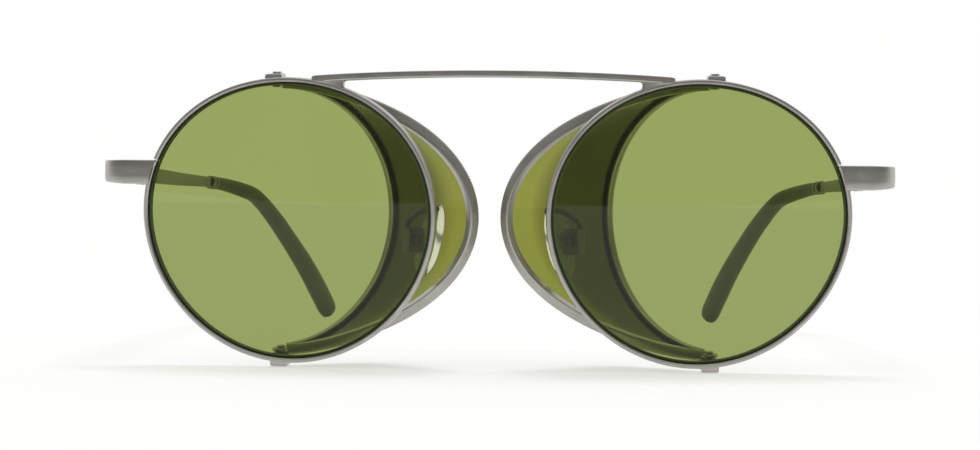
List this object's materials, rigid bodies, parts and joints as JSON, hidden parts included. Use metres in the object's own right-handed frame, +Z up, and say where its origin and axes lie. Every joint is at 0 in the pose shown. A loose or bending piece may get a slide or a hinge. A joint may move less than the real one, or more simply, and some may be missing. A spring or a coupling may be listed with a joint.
{
  "type": "sunglasses with side shields",
  "caption": "Round metal sunglasses with tinted lenses, a straight top bar, folding temples with curved ear tips, and curved tinted side shields that swing behind the lenses.",
  "frame": {"origin": "on the table that the lower lugs and the ear tips rest on, midway between the lenses and halfway from the front to the ear tips", "axes": "+X to the wearer's left, +Y from the front back along the temples, +Z up"},
  "size_m": [0.1311, 0.1475, 0.0479],
  "materials": {
    "gunmetal": "satin gunmetal plating",
    "steel": "bright turned steel",
    "lens_green": "polished green tint",
    "panel_green": "polished olive tint",
    "silicone": "clear, soft",
    "tip_plastic": "smooth, half matt"
  },
  "bodies": {
    "front": {"bridge": "gunmetal", "rim_left": "gunmetal", "rim_right": "gunmetal", "lens_left": "lens_green", "lens_right": "lens_green", "endpiece_left": "gunmetal", "endpiece_right": "gunmetal", "rim_lock_upper_left": "gunmetal", "rim_lock_upper_right": "gunmetal", "rim_lock_lower_left": "gunmetal", "rim_lock_lower_right": "gunmetal", "rim_lock_screw_left": "steel", "rim_lock_screw_right": "steel", "hinge_screw_left": "steel", "hinge_screw_right": "steel", "shield_lug_upper_left": "gunmetal", "shield_lug_upper_right": "gunmetal", "shield_lug_lower_left": "gunmetal", "shield_lug_lower_right": "gunmetal", "shield_screw_upper_left": "steel", "shield_screw_upper_right": "steel", "shield_screw_lower_left": "steel", "shield_screw_lower_right": "steel", "pad_arm_left": "gunmetal", "pad_arm_right": "gunmetal", "pad_box_left": "gunmetal", "pad_box_right": "gunmetal", "pad_screw_left": "steel", "pad_screw_right": "steel"},
    "temple_left": {"temple_left": "gunmetal", "temple_collar_left": "gunmetal", "ear_tip_left": "tip_plastic"},
    "temple_right": {"temple_right": "gunmetal", "temple_collar_right": "gunmetal", "ear_tip_right": "tip_plastic"},
    "shield_left": {"shield_front_rim_left": "gunmetal", "shield_rear_rim_left": "gunmetal", "shield_panel_left": "panel_green", "shield_eyelet_upper_left": "gunmetal", "shield_eyelet_lower_left": "gunmetal"},
    "shield_right": {"shield_front_rim_right": "gunmetal", "shield_rear_rim_right": "gunmetal", "shield_panel_right": "panel_green", "shield_eyelet_upper_right": "gunmetal", "shield_eyelet_lower_right": "gunmetal"},
    "pad_left": {"nose_pad_left": "silicone"},
    "pad_right": {"nose_pad_right": "silicone"}
  },
  "joints": [
    {"name": "temple_fold_left", "type": "hinge", "parent": "front", "child": "temple_left", "pos_m": [0.0615, -0.0486, 0.03157], "axis": [0, 0, 1], "range_deg": [-5.2, 85.9]},
    {"name": "temple_fold_right", "type": "hinge", "parent": "front", "child": "temple_right", "pos_m": [-0.0615, -0.0486, 0.03157], "axis": [0, 0, -1], "range_deg": [0, 85.1]},
    {"name": "shield_swing_left", "type": "hinge", "parent": "front", "child": "shield_left", "pos_m": [0.03487, -0.0654, 0.02435], "axis": [0.0112, -0.0794, 0.9968], "range_deg": [-127.5, 0]},
    {"name": "shield_swing_right", "type": "hinge", "parent": "front", "child": "shield_right", "pos_m": [-0.03487, -0.0654, 0.02435], "axis": [0.0112, 0.0794, -0.9968], "range_deg": [-127.5, 0]},
    {"name": "pad_rock_left", "type": "hinge", "parent": "front", "child": "pad_left", "pos_m": [0.01295, -0.0657, 0.02082], "axis": [0.6004, 0.7997, 0], "range_deg": [-8, 8]},
    {"name": "pad_rock_right", "type": "hinge", "parent": "front", "child": "pad_right", "pos_m": [-0.01295, -0.0657, 0.02082], "axis": [-0.6004, 0.7997, 0], "range_deg": [-8, 8]}
  ]
}
